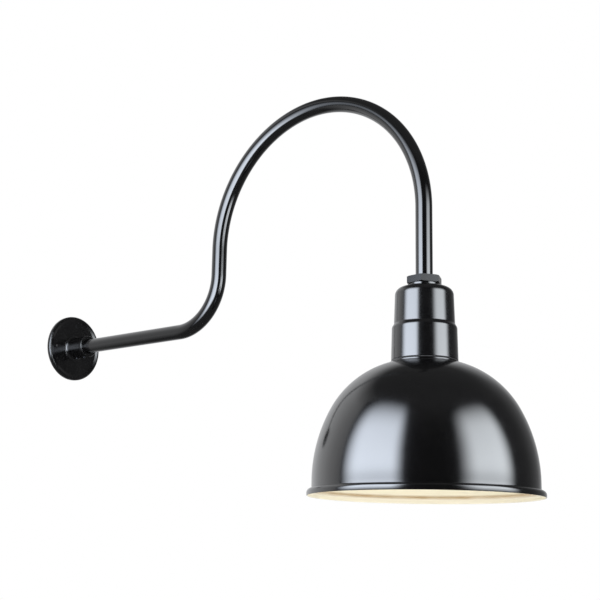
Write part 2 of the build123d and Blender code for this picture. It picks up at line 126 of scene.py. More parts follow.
class SconceColours(bpy.types.PropertyGroup):
    """Colours of the finishes."""

    paint: paint("Paint", "Gloss paint on the tube and the castings", (0.0030, 0.0030, 0.0034))
    dust: paint("Dust", "Fine dust on the gloss finishes", (0.16, 0.155, 0.15))
    enamel: paint("Enamel", "Enamel on the outside of the shade", (0.0022, 0.0022, 0.0025))
    cream: paint("Cream", "Enamel on the inside of the shade", (0.98, 0.93, 0.77))
    zinc: paint("Zinc", "Dull zinc plate on the strap and the clamp ring", (0.40, 0.405, 0.42))
    oxide: paint("Black oxide", "Black oxide on the set screws", (0.045, 0.045, 0.05))
    earth: paint("Earth green", "Dye on the earth screw", (0.05, 0.28, 0.09))
    rubber: paint("Rubber", "Both gaskets", (0.03, 0.03, 0.03))
    black_cover: paint("Black cover", "Insulation of the live leads and the bush", (0.02, 0.02, 0.02))
    white_cover: paint("White cover", "Insulation of the neutral leads", (0.80, 0.80, 0.77))
    porcelain: paint("Porcelain", "Glazed lamp holder", (0.86, 0.85, 0.81))
    brass: paint("Brass", "Shell and contacts", (0.72, 0.55, 0.26))
    aluminium: paint("Aluminium", "Pressed cap of the lamp", (0.74, 0.75, 0.77))
    black_glass: paint("Black glass", "Insulator under the lamp's contact", (0.012, 0.012, 0.014))
    tungsten: paint("Tungsten", "Wire and posts in the lamp", (0.33, 0.33, 0.34))
    floor: paint("Floor", "Pale studio floor", (0.90, 0.90, 0.90))


class SconceStudio(bpy.types.PropertyGroup):
    """Levels of the studio around the light."""

    left_card: dial("Left card", "Level of the left soft card", 1.0)
    right_card: dial("Right card", "Level of the right soft card", 1.0)
    room: dial("Room", "Level of the dim room in reflections", 1.0)
    ambient: dial("Ambient", "Plain level from all sides", 0.62)
    key: dial("Key lamp", "Power of the left lamp", 8.0, unit="POWER")
    fill: dial("Fill lamp", "Power of the right lamp", 5.0, unit="POWER")


# ---- profiles


def circle(count):
    """Angles evenly round a circle."""
    return np.linspace(0, 2 * math.pi, count, endpoint=False)


def arc(centre, radius, start, end, count):
    """Points of a circle's arc: the centre plus the radius times the cosine and sine of angles
    spaced evenly from start to end, in degrees."""
    angle = np.radians(np.linspace(start, end, count))
    return np.stack([centre[0] + radius * np.cos(angle), centre[1] + radius * np.sin(angle)], 1)


def rounded(corners, radii, steps):
    """A polyline whose inner corners are arcs. At each corner the arc touches both runs at the
    radius over the tangent of half the inside angle, and its centre lies on the half-angle line."""
    corners = np.asarray(corners, float)
    out = [corners[:1]]
    for before, corner, after, radius in zip(corners[:-2], corners[1:-1], corners[2:], radii):
        back, on = before - corner, after - corner
        back, on = back / np.linalg.norm(back), on / np.linalg.norm(on)
        half = math.acos(max(-1.0, min(1.0, float(back @ on)))) / 2
        if radius <= 0 or math.pi / 2 - half < 1e-3:
            out.append(corner[None])
            continue
        middle = corner + (back + on) / np.linalg.norm(back + on) * radius / math.sin(half)
        first = corner + back * radius / math.tan(half) - middle
        last = corner + on * radius / math.tan(half) - middle
        turn = math.atan2(first[0] * last[1] - first[1] * last[0], first @ last)
        angle = math.atan2(first[1], first[0]) + turn * np.linspace(0, 1, steps)
        out.append(middle + radius * np.stack([np.cos(angle), np.sin(angle)], 1))
    out.append(corners[-1:])
    return np.concatenate(out)


def thinned(points, least=1e-6):
    """The same line without points that repeat the one before."""
    step = np.linalg.norm(np.diff(points, axis=0), axis=1)
    return points[np.concatenate([[True], step > least])]


def divided(points, most):
    """The same line with every run longer than most divided evenly."""
    step = np.linalg.norm(np.diff(points, axis=0), axis=1)
    count = np.maximum(1, np.ceil(step / most - 1e-9)).astype(int)
    place = np.concatenate([[0], np.cumsum(step)])
    marks = [np.linspace(*run, endpoint=False) for run in zip(place[:-1], place[1:], count)]
    marks = np.concatenate(marks + [place[-1:]])
    return np.stack([np.interp(marks, place, points[:, i]) for i in range(points.shape[1])], 1)


def headings(points):
    """The line's unit tangent at each point."""
    tangent = np.gradient(points, axis=0)
    return tangent / np.linalg.norm(tangent, axis=1, keepdims=True)


def side_of(points, distance):
    """The line moved sideways by distance: each point plus distance times the unit normal, which
    is the tangent turned a quarter turn clockwise."""
    tangent = headings(points)
    return points + distance * np.stack([tangent[:, 1], -tangent[:, 0]], 1)


# ---- surfaces


def grid_faces(rows, columns, closed_rows, closed_columns):
    """Four-sided faces of a grid of points numbered row by row. Face i, j joins the points i, j;
    i, j+1; i+1, j+1 and i+1, j, counted round where that way is closed."""
    i = np.arange(rows if closed_rows else rows - 1)[:, None]
    j = np.arange(columns if closed_columns else columns - 1)[None]
    down, across = (i + 1) % rows, (j + 1) % columns
    corners = (i * columns + j, i * columns + across, down * columns + across, down * columns + j)
    return np.stack([np.broadcast_to(c, (i.size, j.size)) for c in corners], -1).reshape(-1, 4)


def raise_mesh(name, parts, materials, weld=1e-7):
    """A mesh object at the origin from parts, each a tuple of points, faces and material index
    by face. Points nearer than weld are merged and the faces are turned to point outwards."""
    points, faces, index, start = [], [], [], 0
    for part_points, part_faces, part_index in parts:
        part_points = np.asarray(part_points, float).reshape(-1, 3)
        points.append(part_points)
        faces.append(part_faces + start)
        index.append(np.broadcast_to(part_index, (len(part_faces),)))
        start += len(part_points)
    points, faces, index = np.concatenate(points), np.concatenate(faces), np.concatenate(index)
    mesh = bpy.data.meshes.new(name)
    mesh.vertices.add(len(points))
    mesh.vertices.foreach_set("co", points.astype(np.float32).ravel())
    mesh.loops.add(faces.size)
    mesh.loops.foreach_set("vertex_index", faces.astype(np.int32).ravel())
    mesh.polygons.add(len(faces))
    mesh.polygons.foreach_set("loop_start", np.arange(0, faces.size, 4, dtype=np.int32))
    mesh.polygons.foreach_set("material_index", index.astype(np.int32))
    mesh.update(calc_edges=True)
    mesh.validate()
    work = bmesh.new()
    work.from_mesh(mesh)
    bmesh.ops.remove_doubles(work, verts=work.verts, dist=weld)
    bmesh.ops.dissolve_degenerate(work, edges=work.edges, dist=weld)
    bmesh.ops.recalc_face_normals(work, faces=work.faces)
    work.to_mesh(mesh)
    work.free()
    mesh.shade_smooth()
    mesh.set_sharp_from_angle(angle=SMOOTH_ANGLE)
    for material in materials:
        mesh.materials.append(material)
    piece = bpy.data.objects.new(name, mesh)
    bpy.context.scene.collection.objects.link(piece)
    return piece


def turned(profile, around, swell=None):
    """A closed profile of (radius, height) turned about the shade's axis: x is the reach plus radius
    times the cosine of the turn, y is radius times its sine and z is the height. swell adds a
    radius worked out from the grids of angle and height."""
    angle = circle(around)[None]
    radius, height = profile[:, :1], profile[:, 1:2] + 0 * angle
    radius = radius + (0 * angle if swell is None else swell(angle + 0 * radius, height))
    points = np.stack([REACH + radius * np.cos(angle), radius * np.sin(angle), height], -1)
    return points, grid_faces(len(profile), around, True, True)


def carried(route, radius, first_side, around):
    """A circle carried along a route of points in space. At each station the point is the route
    plus the radius times cosine and sine along two sides at right angles to the tangent: the
    given first side, and the tangent crossed with it."""
    angle = circle(around)[None, :, None]
    first = np.broadcast_to(first_side, route.shape)
    second = np.cross(headings(route), first)
    second /= np.linalg.norm(second, axis=1, keepdims=True)
    radius = np.broadcast_to(radius, (len(route),))[:, None, None]
    ring = np.cos(angle) * first[:, None] + np.sin(angle) * second[:, None]
    return route[:, None] + radius * ring, grid_faces(len(route), around, False, True)


def add_piece(name, parts, finishes, body, node, weld=1e-7):
    """Raise a piece and say what it rides on, which finish it has and which solid it stands for."""
    piece = raise_mesh(name, parts, [bpy.data.materials[finish] for finish in finishes], weld)
    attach(piece, body)
    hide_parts(node)


# ---- shader groups


def put(tree, kind, sockets=None, **settings):
    """Add a shader node. Sockets are set by name or number, or joined to the socket given."""
    node = tree.nodes.new("ShaderNode" + kind)
    for key, value in settings.items():
        setattr(node, key, value)
    for key, value in (sockets or {}).items():
        if isinstance(value, bpy.types.NodeSocket):
            tree.links.new(value, node.inputs[key])
        else:
            node.inputs[key].default_value = value
    return node


def maths(tree, operation, *values, clamp=False):
    """The result of one Math node."""
    return put(tree, "Math", dict(enumerate(values)), operation=operation, use_clamp=clamp).outputs[0]


def mixed(tree, factor, first, second):
    """The first colour passing into the second as the factor grows."""
    return put(tree, "Mix", {0: factor, 6: first, 7: second}, data_type="RGBA").outputs[2]


def noise(tree, vector, scale, detail=2.0, roughness=0.5, distortion=0.0):
    """A noise value between 0 and 1."""
    sockets = {"Vector": vector, "Scale": scale, "Detail": detail, "Roughness": roughness,
               "Distortion": distortion}
    return put(tree, "TexNoise", sockets).outputs[0]


def ranged(tree, value, low, high, to_low=0.0, to_high=1.0, kind="LINEAR"):
    """A value moved from one range to another and held inside it."""
    sockets = {"Value": value, "From Min": low, "From Max": high, "To Min": to_low, "To Max": to_high}
    return put(tree, "MapRange", sockets, interpolation_type=kind).outputs[0]


def split(tree, vector):
    """The x, y and z of a vector."""
    return put(tree, "SeparateXYZ", {0: vector}).outputs


def off_axis(tree, parts):
    """The distance from the upright axis: the root of x squared plus y squared."""
    squares = maths(tree, "MULTIPLY_ADD", parts[0], parts[0], maths(tree, "MULTIPLY", parts[1], parts[1]))
    return maths(tree, "SQRT", squares)


def scattered(tree, vector, scale, channel, chance, size):
    """Round specks: a share of the cells, picked by one channel of their colour, each filled to
    the size (outer, inner) from its middle."""
    cells = put(tree, "TexVoronoi", {"Vector": vector, "Scale": scale})
    picked = put(tree, "SeparateColor", {0: cells.outputs["Color"]}).outputs[channel]
    filled = ranged(tree, cells.outputs["Distance"], *size)
    return maths(tree, "MULTIPLY", filled, ranged(tree, picked, *chance))


def wandering(tree, value, middle, amount):
    """The middle moved up and down by a value between 0 and 1."""
    return maths(tree, "MULTIPLY_ADD", maths(tree, "SUBTRACT", value, 0.5), amount, middle)


def start_group(name, inputs, outputs):
    """An empty shader group with named sockets. Each input is (name, kind, default)."""
    group = bpy.data.node_groups.new(name, "ShaderNodeTree")
    for label, kind, default in inputs:
        socket = group.interface.new_socket(name=label, in_out="INPUT", socket_type=kind)
        if default is not None:
            socket.default_value = default
    for label, kind in outputs:
        group.interface.new_socket(name=label, in_out="OUTPUT", socket_type=kind)
    return group, group.nodes.new("NodeGroupInput").outputs, group.nodes.new("NodeGroupOutput").inputs


COLOUR, VALUE, VECTOR = "NodeSocketColor", "NodeSocketFloat", "NodeSocketVector"
SKIN_OUT = [("Colour", COLOUR), ("Roughness", VALUE), ("Height", VALUE)]


def gloss_skin_group():
    """Gloss paint: faint cloudy dust, a few specks, wiped smears and a fine orange peel."""
    group, given, made = start_group(
        "Gloss skin",
        [("Vector", VECTOR, None), ("Colour", COLOUR, (0.01, 0.01, 0.01, 1)),
         ("Dust Colour", COLOUR, (0.2, 0.2, 0.2, 1)), ("Dust", VALUE, 0.1),
         ("Roughness", VALUE, 0.1), ("Peel Size", VALUE, 0.002)],
        SKIN_OUT,
    )
    place = given["Vector"]
    cloud = noise(group, place, 16.0, 4.0)
    smear = noise(group, place, 48.0, 5.0, 0.6, 0.5)
    speck = scattered(group, place, 330.0, 0, (0.975, 0.985), (0.16, 0.06))
    veil = maths(group, "MULTIPLY", ranged(group, cloud, 0.35, 0.75), ranged(group, smear, 0.3, 0.7))
    share = maths(group, "MULTIPLY_ADD", veil, 0.10, maths(group, "MULTIPLY", speck, 0.5))
    share = maths(group, "MULTIPLY", share, given["Dust"], clamp=True)
    group.links.new(mixed(group, share, given["Colour"], given["Dust Colour"]), made["Colour"])
    rough = wandering(group, smear, given["Roughness"], 0.06)
    group.links.new(maths(group, "MULTIPLY_ADD", speck, 0.2, rough, clamp=True), made["Roughness"])
    fine = noise(group, place, maths(group, "DIVIDE", 1.0, given["Peel Size"]), 1.0)
    broad = noise(group, place, maths(group, "DIVIDE", 0.22, given["Peel Size"]), 1.0)
    height = maths(group, "MULTIPLY_ADD", broad, 2.2, fine)
    group.links.new(maths(group, "MULTIPLY_ADD", speck, 0.4, height), made["Height"])


def metal_skin_group():
    """Plated or bare metal: cloudy stain, fine drawn scratches and small pits."""
    group, given, made = start_group(
        "Metal skin",
        [("Vector", VECTOR, None), ("Drawn Vector", VECTOR, None), ("Colour", COLOUR, (0.5, 0.5, 0.5, 1)),
         ("Stain Colour", COLOUR, (0.2, 0.2, 0.2, 1)), ("Stain", VALUE, 0.4), ("Roughness", VALUE, 0.3)],
        SKIN_OUT,
    )
    place = given["Vector"]
    cloud = noise(group, place, 85.0, 6.0, 0.62, 0.3)
    lines = noise(group, given["Drawn Vector"], 600.0, 3.0, 0.6)
    pits = noise(group, place, 1400.0, 2.0)
    pit = ranged(group, pits, 0.66, 0.74)
    stain = maths(group, "MULTIPLY", ranged(group, cloud, 0.38, 0.72), given["Stain"])
    stain = maths(group, "MULTIPLY_ADD", pit, 0.25, stain, clamp=True)
    group.links.new(mixed(group, stain, given["Colour"], given["Stain Colour"]), made["Colour"])
    rough = wandering(group, lines, given["Roughness"], 0.25)
    group.links.new(maths(group, "MULTIPLY_ADD", stain, 0.2, rough, clamp=True), made["Roughness"])
    group.links.new(maths(group, "MULTIPLY_ADD", pit, -0.8, lines), made["Height"])


def glaze_skin_group():
    """Fired glaze or moulded skin: a mottled tone, rare dark specks and gentle waves."""
    group, given, made = start_group(
        "Glaze skin",
        [("Vector", VECTOR, None), ("Colour", COLOUR, (0.8, 0.8, 0.8, 1)),
         ("Speck Colour", COLOUR, (0.2, 0.15, 0.1, 1)), ("Specks", VALUE, 0.5),
         ("Mottle", VALUE, 0.1), ("Roughness", VALUE, 0.2), ("Grain Size", VALUE, 0.002)],
        SKIN_OUT,
    )
    place = given["Vector"]
    tone = noise(group, place, 30.0, 5.0, 0.55)
    speck = scattered(group, place, 260.0, 1, (0.92, 0.95), (0.13, 0.05))
    shade = maths(group, "MULTIPLY", ranged(group, tone, 0.3, 0.75), given["Mottle"])
    share = maths(group, "MULTIPLY_ADD", speck, given["Specks"], shade, clamp=True)
    group.links.new(mixed(group, share, given["Colour"], given["Speck Colour"]), made["Colour"])
    rough = wandering(group, tone, given["Roughness"], 0.15)
    group.links.new(maths(group, "MAXIMUM", rough, 0.02), made["Roughness"])
    waves = noise(group, place, maths(group, "DIVIDE", 1.0, given["Grain Size"]), 3.0)
    group.links.new(maths(group, "MULTIPLY_ADD", speck, -0.6, waves), made["Height"])


def spun_marks_group():
    """Faint rings left by spinning: waves of the distance from the axis less the height, which
    grows all the way down the sheet, and fade here and there."""
    group, given, made = start_group(
        "Spun marks", [("Vector", VECTOR, None), ("Spacing", VALUE, 0.003)], [("Height", VALUE)]
    )
    parts = split(group, given["Vector"])
    along = maths(group, "SUBTRACT", off_axis(group, parts), parts[2])
    place = maths(group, "DIVIDE", along, given["Spacing"])
    line = put(group, "CombineXYZ", {0: place}).outputs[0]
    rings = noise(group, line, 1.0, 3.0, 0.65)
    fade = ranged(group, noise(group, given["Vector"], 9.0, 2.0), 0.35, 0.7, 0.4, 1.0)
    group.links.new(maths(group, "MULTIPLY", rings, fade), made["Height"])


# ---- finishes


def four(colour):
    """A colour property as red, green, blue and alpha."""
    return (*colour, 1.0)


def toned(colour, share):
    """The colour made darker or lighter by a share."""
    return (*(min(1.0, max(0.0, part * share)) for part in colour), 1.0)


def cleared(owner):
    """The node tree of a material or world, emptied."""
    owner.use_nodes = True
    owner.node_tree.nodes.clear()
    return owner.node_tree


def start_material(name, bump, bump_depth, **constants):
    """A material's tree with its shader, object coordinates and a bump. Constants are set on the
    shader's own sockets."""
    tree = cleared(bpy.data.materials.new(name))
    shader = put(tree, "BsdfPrincipled", {k.replace("_", " "): v for k, v in constants.items()})
    put(tree, "OutputMaterial", {"Surface": shader.outputs[0]})
    place = put(tree, "TexCoord").outputs["Object"]
    relief = put(tree, "Bump", {"Strength": bump, "Distance": bump_depth})
    tree.links.new(relief.outputs[0], shader.inputs["Normal"])
    return tree, shader, place, relief


def mapped(tree, place, centre=(0, 0, 0), scale=(1, 1, 1)):
    """Object coordinates centred and stretched for one piece."""
    sockets = {"Vector": place, "Location": centre, "Scale": scale}
    return put(tree, "Mapping", sockets, vector_type="POINT").outputs[0]


def placed(tree, group, sockets):
    """A shader group placed in a material, with its own values."""
    return put(tree, "Group", sockets, node_tree=bpy.data.node_groups[group])


def wear_skin(tree, shader, relief, group, sockets):
    """Place a skin group and join its colour, roughness and height."""
    skin = placed(tree, group, sockets)
    tree.links.new(skin.outputs["Colour"], shader.inputs["Base Color"])
    tree.links.new(skin.outputs["Roughness"], shader.inputs["Roughness"])
    tree.links.new(skin.outputs["Height"], relief.inputs["Height"])
    return skin


def gloss_material(name, colour, dust, dust_share, roughness, peel, bump, rings=0.0, ior=1.8):
    """Black gloss finish, with rings about the shade's axis where rings is over 0."""
    tree, shader, place, relief = start_material(name, bump, 0.00006, IOR=ior)
    skin = wear_skin(tree, shader, relief, "Gloss skin", {
        "Vector": place, "Colour": four(colour), "Dust Colour": four(dust), "Dust": dust_share,
        "Roughness": roughness, "Peel Size": peel})
    if rings:
        marks = placed(tree, "Spun marks", {
            "Vector": mapped(tree, place, (-REACH, 0, 0)), "Spacing": 0.0035})
        total = maths(tree, "MULTIPLY_ADD", marks.outputs["Height"], rings, skin.outputs["Height"])
        tree.links.new(total, relief.inputs["Height"])


def metal_material(name, colour, stain, stain_share, roughness, drawn):
    """Metal whose fine scratches run square to the stretched direction."""
    tree, shader, place, relief = start_material(name, 0.25, 0.00008, Metallic=1.0)
    wear_skin(tree, shader, relief, "Metal skin", {
        "Vector": place, "Drawn Vector": mapped(tree, place, scale=drawn), "Colour": four(colour),
        "Stain Colour": stain, "Stain": stain_share, "Roughness": roughness})


def glaze_material(name, colour, speck, specks, mottle, roughness, grain, bump, line=None):
    """Glazed, moulded or rubber finish. A line is (height, half width, colour): a brown line painted along
    the crease at that height, for dust gathered there and for painted shade in the crease."""
    tree, shader, place, relief = start_material(name, bump, 0.0001)
    skin = wear_skin(tree, shader, relief, "Glaze skin", {
        "Vector": place, "Colour": four(colour), "Speck Colour": speck, "Specks": specks,
        "Mottle": mottle, "Roughness": roughness, "Grain Size": grain})
    if line:
        line_z, half_width, crease_dust_and_shade_colour = line
        # Browner towards the crease height: dust gathered in the crease together with painted shade.
        off = maths(tree, "ABSOLUTE", maths(tree, "SUBTRACT", split(tree, place)[2], line_z))
        share = ranged(tree, off, half_width, 0.0, kind="SMOOTHSTEP")
        patchy = ranged(tree, noise(tree, place, 22.0), 0.3, 0.7, 0.7, 1.0)
        share = maths(tree, "MULTIPLY", share, patchy)
        tree.links.new(mixed(tree, share, skin.outputs["Colour"], crease_dust_and_shade_colour), shader.inputs["Base Color"])


def glass_material(name):
    """Clear lamp glass with the faintest smears."""
    tree, shader, place, relief = start_material(name, 0.05, 0.00005, IOR=1.46, Transmission_Weight=1.0)
    smear = noise(tree, place, 60.0, 5.0, 0.6, 0.4)
    tint = mixed(tree, ranged(tree, smear, 0.4, 0.8), (0.99, 0.995, 0.99, 1), (0.955, 0.965, 0.955, 1))
    tree.links.new(tint, shader.inputs["Base Color"])
    tree.links.new(ranged(tree, smear, 0.45, 0.8, 0.0, 0.05), shader.inputs["Roughness"])
    tree.links.new(noise(tree, place, 35.0, 2.0), relief.inputs["Height"])


class SCONCE_OT_finishes(Step, bpy.types.Operator):
    """Make every finish and give the solids that keep their shape theirs."""

    bl_idname = "sconce.finishes"
    bl_label = "Finishes"

    def execute(self, context):
        c, s = context.scene.sconce_colours, context.scene.sconce_sizes
        for build in (gloss_skin_group, metal_skin_group, glaze_skin_group, spun_marks_group):
            build()
        # After the name and the colours: dust share, roughness, peel size, bump, rings.
        gloss_material("Tube paint", c.paint, c.dust, 0.2, 0.10, 0.0060, 0.012)
        gloss_material("Casting paint", c.paint, c.dust, 0.25, 0.17, 0.0060, 0.03)
        gloss_material("Nut paint", c.paint, c.dust, 0.3, 0.24, 0.0040, 0.03, ior=1.42)
        gloss_material("Shade enamel", c.enamel, c.dust, 0.2, 0.14, 0.0060, 0.015, 0.5)
        # After the name and the colours: stain share, roughness, stretch of the scratches.
        metal_material("Zinc plate", c.zinc, toned(c.zinc, 0.45), 0.7, 0.36, (0.08, 0.08, 1.0))
        metal_material("Black oxide", c.oxide, toned(c.oxide, 0.4), 0.5, 0.38, (1.0, 1.0, 0.1))
        metal_material("Earth dye", c.earth, toned(c.earth, 0.5), 0.5, 0.34, (0.1, 1.0, 1.0))
        metal_material("Brass", c.brass, (0.36, 0.22, 0.09, 1), 0.6, 0.24, (1.0, 1.0, 0.1))
        dull = toned(c.aluminium, 0.55)
        metal_material("Pressed aluminium", c.aluminium, dull, 0.45, 0.22, (0.1, 0.1, 1.0))
        metal_material("Tungsten wire", c.tungsten, toned(c.tungsten, 0.4), 0.5, 0.42, (0.1, 1.0, 1.0))
        # After the name and the colours: specks, mottle, roughness, grain size, bump, line.
        # The crease line inside the lip is partly dust and partly painted shade of the crease.
        line = (shade_profile(s)[-1, 1] + s.flare_height - 0.0005, 0.0048, (0.46, 0.32, 0.17, 1))
        glaze_material("Cream enamel", c.cream, (0.42, 0.30, 0.16, 1), 0.2, 0.03, 0.2, 0.004, 0.05, line)
        glaze_material("Gasket rubber", c.rubber, (0.10, 0.10, 0.10, 1), 0.6, 0.25, 0.72, 0.0006, 0.5)
        glaze_material("Black cover", c.black_cover, (0.07, 0.07, 0.07, 1), 0.4, 0.2, 0.42, 0.0008, 0.2)
        glaze_material("White cover", c.white_cover, (0.45, 0.43, 0.38, 1), 0.4, 0.12, 0.42, 0.0008, 0.2)
        glaze_material("Porcelain glaze", c.porcelain, (0.33, 0.27, 0.20, 1), 0.6, 0.07, 0.12, 0.003, 0.15)
        glaze_material("Black glass", c.black_glass, (0.05, 0.05, 0.06, 1), 0.3, 0.2, 0.08, 0.002, 0.1)
        glass_material("Lamp glass")
        for finish, nodes in KEPT.items():
            for node in nodes:
                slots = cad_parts[node].data.materials
                slots.clear()
                slots.append(bpy.data.materials[finish])
        return {"FINISHED"}


KEPT = {
    "Casting paint": ("wall_plate", "neck"),
    "Nut paint": ("lock_nut",),
    "Zinc plate": ("shade_ring", "shade_screws", "socket_bracket", "bracket_screws", "socket_screws"),
    "Black oxide": ("hub_set_screws", "neck_set_screw"),
    "Earth dye": ("ground_screw",),
    "Gasket rubber": ("wall_gasket", "neck_gasket"),
    "Black cover": ("end_bushing", "supply_lead_black", "socket_lead_black"),
    "White cover": ("supply_lead_white", "socket_lead_white"),
    "Porcelain glaze": ("socket_body",),
    "Brass": ("centre_contact", "bulb_contact"),
    "Black glass": ("bulb_insulator",),
    "Lamp glass": ("bulb_globe", "bulb_stem"),
}


# ---- pieces


class SCONCE_OT_arm(Step, bpy.types.Operator):
    """Carry the tube's wall along its bends: the outside forward, over the rounded end, and the
    bore back to the start. A point is the station on the centre line, plus the radius times the
    cosine of the turn along y and its sine along the line's normal."""

    bl_idname = "sconce.arm"
    bl_label = "Bent tube"

    def execute(self, context):
        s = context.scene.sconce_sizes
        foot, riser_x = s.bend_r + s.riser, s.run_end + s.bend_r
        line = np.concatenate([
            [(ARM_LOW.x, 0.0)],
            arc((s.run_end, s.bend_r), s.bend_r, -90, 0, 31),
            arc((riser_x + s.arch_r, foot), s.arch_r, 180, 0, 145),
            [(riser_x + 2 * s.arch_r, s.arm_end_z)],
        ])
        line = divided(thinned(line), LONGEST_RUN)
        tangent = headings(line)
        half, last = s.arm_wall / 2, len(line) - 1
        bead = arc((-half, 0.0), half, 90, -90, 9)
        inner = np.arange(1, last)
        flat = np.zeros(len(inner))
        station = np.concatenate([inner, np.full(len(bead), last), inner[::-1], np.zeros(len(bead), int)])
        along = np.concatenate([flat, bead[:, 0], flat, -bead[::-1, 0]])
        out = np.concatenate([flat + half, bead[:, 1], flat - half, bead[::-1, 1]])
        centre = line[station] + along[:, None] * tangent[station]
        angle = circle(TUBE_SIDES)
        radius = (s.arm_r - half + out)[:, None]
        outward = radius * np.sin(angle)
        points = np.stack([
            centre[:, :1] - tangent[station, 1:] * outward,
            radius * np.cos(angle),
            centre[:, 1:] + tangent[station, :1] * outward,
        ], -1)
        faces = grid_faces(len(station), TUBE_SIDES, True, True)
        add_piece("bent_tube", [(points, faces, 0)], ["Tube paint"], "arm", "gooseneck_arm")
        return {"FINISHED"}


SEAT_FOOT_ROUND = 0.0005


def shade_profile(s):
    """The outside of the shade from its seat's hole to its lip: level seat, rounded edge, short
    step, crown arc, side arc that touches it and the upright wall, and a rolled lip."""
    seat_z = SHADE_HIGH.z
    start_r = s.seat_r + s.crown_step
    start_angle = 90 - math.degrees(math.asin((start_r - s.crown_centre) / s.crown_r))
    foot_z = seat_z - s.seat_height
    start_z = foot_z - s.crown_step / math.tan(math.radians(start_angle))
    centre_z = start_z - s.crown_r * math.sin(math.radians(start_angle))
    side_r = s.wall_r - s.side_arc_r
    apart = s.crown_centre - side_r
    wall_top = centre_z - math.sqrt((s.side_arc_r - s.crown_r) ** 2 - apart**2)
    join = math.degrees(math.atan2(centre_z - wall_top, apart))
    flare_z = wall_top - s.wall_height
    lip_r, lip_z = s.wall_r + s.flare_width, flare_z - s.flare_height
    seat = rounded(
        [(s.seat_in_r, seat_z), (s.seat_r, seat_z), (s.seat_r, foot_z), (start_r, start_z)],
        [s.seat_round, SEAT_FOOT_ROUND], 9)
    crown = arc((s.crown_centre, centre_z), s.crown_r, start_angle, join, 40)
    side = arc((side_r, wall_top), s.side_arc_r, join, 0, 34)
    rim = rounded(
        [(s.wall_r, wall_top), (s.wall_r, flare_z), (lip_r, flare_z), (lip_r, lip_z)],
        [s.crease_round, s.flare_width - s.flare_ledge], 14)
    return thinned(np.concatenate([seat, crown, side, rim]), 2e-6)


class SCONCE_OT_shade(Step, bpy.types.Operator):
    """Turn the spun shade: its outside, the rounded edge of the sheet and its enamelled inside."""

    bl_idname = "sconce.shade"
    bl_label = "Spun shade"

    def execute(self, context):
        s = context.scene.sconce_sizes
        outside = divided(shade_profile(s), LONGEST_RUN)
        half = s.sheet / 2
        lip = arc((outside[-1, 0] - half, outside[-1, 1] + half), half, 0, -180, 9)
        hole = arc((outside[0, 0] + half, outside[0, 1] - half), half, -90, -270, 9)
        outside[-1, 1] += half
        outside[0, 0] += half
        inside = side_of(outside, s.sheet)[::-1]
        profile = np.concatenate([outside, lip[1:-1], inside, hole[1:-1]])
        points, faces = turned(profile, SHADE_SIDES)
        row, edge = np.arange(len(profile)), len(lip) // 2
        black = (row < len(outside) + edge) | (row >= len(profile) - edge)
        index = np.repeat(np.where(black, 0, 1), SHADE_SIDES)
        finishes = ["Shade enamel", "Cream enamel"]
        add_piece("spun_shade", [(points, faces, index)], finishes, "head", "shade")
        return {"FINISHED"}


def thread_swell(s, top, turns):
    """How far a rolled thread stands out: the depth times half of one less the cosine of the turns
    climbed, with a soft start and end of half a turn each."""

    def swell(angle, height):
        climb = (top - height) / s.thread_pitch
        wave = 0.5 - 0.5 * np.cos(2 * math.pi * (climb + angle / (2 * math.pi)))
        fade = np.clip(climb / 0.5, 0, 1) * np.clip((turns - climb) / 0.5, 0, 1)
        return s.thread_depth * wave * fade * fade * (3 - 2 * fade)

    return swell


class SCONCE_OT_threads(Step, bpy.types.Operator):
    """Turn the lamp's cap and the holder's shell, both with a real helical thread pressed in."""

    bl_idname = "sconce.threads"
    bl_label = "Lamp threads"

    def execute(self, context):
        s = context.scene.sconce_sizes
        cap_r, sheet, throat, shoulder = CAP_HIGH.y - s.thread_depth, 0.0004, 0.0086, 0.0002
        high, foot = CAP_HIGH.z, CAP_LOW.z
        top = high - 0.002
        swell = thread_swell(s, top, 5)
        wall = np.stack([np.full(150, cap_r), np.linspace(foot + sheet / 2, top, 150)], 1)
        crown = rounded([(cap_r, top), (cap_r, top + shoulder), (throat, high)], [shoulder], 5)
        outside = np.concatenate([wall, crown[1:]])
        inside = side_of(outside, -sheet)
        inside[:, 1] = np.minimum(inside[:, 1], high - sheet * 0.6)
        inside[-1] = (throat, high - sheet)
        inside[0, 1] = foot + sheet / 2
        rim = arc((cap_r - sheet / 2, foot + sheet / 2), sheet / 2, 180, 360, 7)[1:-1]
        points, faces = turned(np.concatenate([outside, inside[::-1], rim]), THREAD_SIDES, swell)
        parts = [(points, faces, 0)]
        add_piece("lamp_cap", parts, ["Pressed aluminium"], "bulb", "bulb_cap")

        sheet, opening, shoulder = 0.0005, 0.007, 0.0003
        root, ceiling, mouth = SHELL_HIGH.y - sheet - s.thread_depth, SHELL_HIGH.z, SHELL_LOW.z
        under = ceiling - sheet
        wall = np.stack([np.full(170, root), np.linspace(mouth + sheet / 2, under - shoulder, 170)], 1)
        crown = rounded([(root, under - shoulder), (root, under), (opening, under)], [shoulder], 5)
        inner = np.concatenate([wall, crown[1:]])
        outer = side_of(inner, sheet)
        outer[:, 1] = np.minimum(outer[:, 1], ceiling)
        outer[0, 1] = mouth + sheet / 2
        outer[-1] = (opening, ceiling)
        rim = arc((root + sheet / 2, mouth + sheet / 2), sheet / 2, 0, -180, 7)[1:-1]
        points, faces = turned(np.concatenate([inner[::-1], rim[::-1], outer]), THREAD_SIDES, swell)
        add_piece("threaded_shell", [(points, faces, 0)], ["Brass"], "head", "screw_shell")
        return {"FINISHED"}


